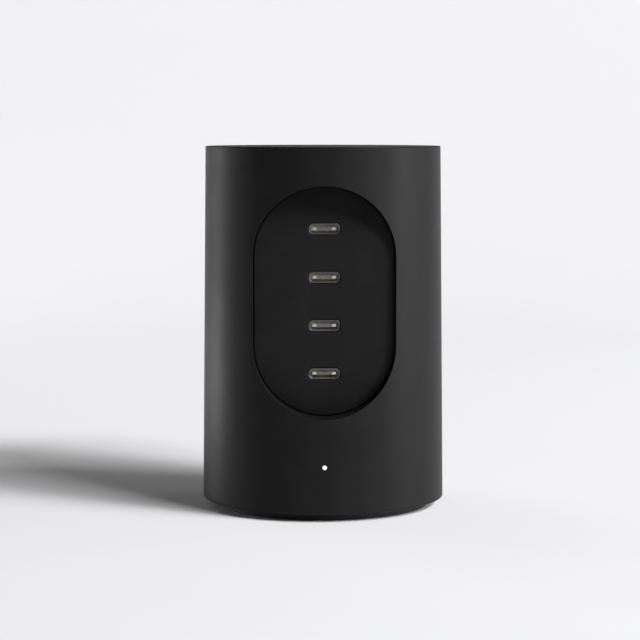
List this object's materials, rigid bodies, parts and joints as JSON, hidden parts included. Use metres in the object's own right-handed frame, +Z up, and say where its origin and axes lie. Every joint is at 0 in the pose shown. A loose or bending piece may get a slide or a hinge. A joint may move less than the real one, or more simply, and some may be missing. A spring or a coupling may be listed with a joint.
{
  "type": "multi port usb desktop charger",
  "caption": "Upright round desktop charger with a stadium-shaped recess holding a column of USB-C ports, a status light below and a mains inlet at the back.",
  "frame": {"origin": "middle of the foot ring, on the table", "axes": "+Z up along the housing; the ports face -Y and the mains inlet +Y"},
  "size_m": [0.0726, 0.0726, 0.1079],
  "materials": {
    "housing": "fine moulded texture",
    "panel": "fine moulded texture",
    "cover": "moulded",
    "foot": "soft matte",
    "screw": "zinc plated",
    "light": "clear, lit white",
    "shell": "drawn, nickel plated",
    "core": "moulded",
    "plate": "stamped, nickel plated",
    "contact": "gold plated",
    "board": "solder resist",
    "chip": "moulded epoxy",
    "ceramic": "fired ceramic",
    "film": "thin film",
    "inlet": "moulded",
    "pin": "nickel plated",
    "fuse": "moulded",
    "lacquer": "dipped lacquer",
    "case": "moulded case",
    "ferrite": "sintered",
    "copper": "enamelled wire",
    "sink": "rolled",
    "sleeve": "shrunk sleeve",
    "can": "drawn",
    "bobbin": "moulded",
    "winding": "taped winding"
  },
  "bodies": {
    "root": {"housing": "housing", "port_panel": "panel", "base_cover": "cover", "foot_ring": "foot", "base_screws": "screw", "light_pipe": "light", "port_board": "board", "status_led": "ceramic", "port_coils": "ferrite", "port_chips": "chip", "port_capacitors": "ceramic", "insulating_film": "film", "main_board": "board", "inlet_body": "inlet", "inlet_pins": "pin", "fuse": "fuse", "surge_arrester": "lacquer", "line_capacitor": "case", "safety_capacitor": "lacquer", "choke_core": "ferrite", "choke_stand": "bobbin", "choke_windings": "copper", "bridge_rectifier": "chip", "power_switch": "chip", "heat_sink": "sink", "supply_capacitor": "sleeve", "bulk_capacitor_1": "sleeve", "bulk_capacitor_2": "sleeve", "transformer_core": "ferrite", "transformer_bobbin": "bobbin", "transformer_winding": "winding", "output_capacitors": "can", "control_chips": "chip", "link_header": "bobbin", "link_socket": "bobbin", "link_pins": "contact", "usb_shell_1": "shell", "usb_tongue_1": "core", "usb_plate_1": "plate", "usb_contacts_1": "contact", "usb_shell_2": "shell", "usb_tongue_2": "core", "usb_plate_2": "plate", "usb_contacts_2": "contact", "usb_shell_3": "shell", "usb_tongue_3": "core", "usb_plate_3": "plate", "usb_contacts_3": "contact", "usb_shell_4": "shell", "usb_tongue_4": "core", "usb_plate_4": "plate", "usb_contacts_4": "contact"}
  },
  "joints": []
}
